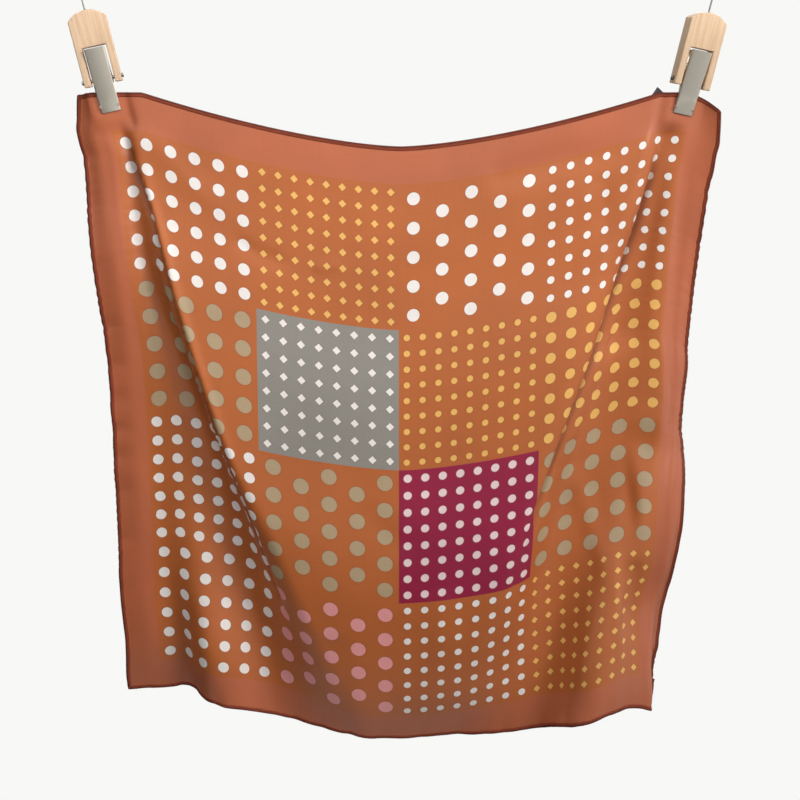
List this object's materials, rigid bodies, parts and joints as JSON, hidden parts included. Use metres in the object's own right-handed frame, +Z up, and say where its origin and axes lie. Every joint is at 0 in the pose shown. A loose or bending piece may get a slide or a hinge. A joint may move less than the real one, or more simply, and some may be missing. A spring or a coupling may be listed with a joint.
{
  "type": "silk square scarf hung from two wooden clip hangers",
  "caption": "Dotted patchwork silk square scarf with a rolled hem, hung by its top corners from two beech clip hangers with wire hooks.",
  "frame": {"origin": "midway between the bearing points of the two hook eyes", "axes": "+Z up, -Y towards the viewer of the printed face, +X to the viewer's right"},
  "size_m": [0.5206, 0.0663, 0.6766],
  "materials": {
    "silk": "satin",
    "hem": "satin",
    "label": "matte",
    "beech": "satin",
    "nickel": "brushed",
    "steel": "polished"
  },
  "bodies": {
    "root": {"silk_panel": "silk", "hem_top": "hem", "hem_bottom": "hem", "hem_left": "hem", "hem_right": "hem", "care_label": "label", "clip_left_wood": "beech", "clip_left_front_jaw": "nickel", "clip_left_back_jaw": "nickel", "clip_left_pin": "steel", "clip_left_spring": "steel", "clip_left_hook": "steel", "clip_right_wood": "beech", "clip_right_front_jaw": "nickel", "clip_right_back_jaw": "nickel", "clip_right_pin": "steel", "clip_right_spring": "steel", "clip_right_hook": "steel"}
  },
  "joints": []
}
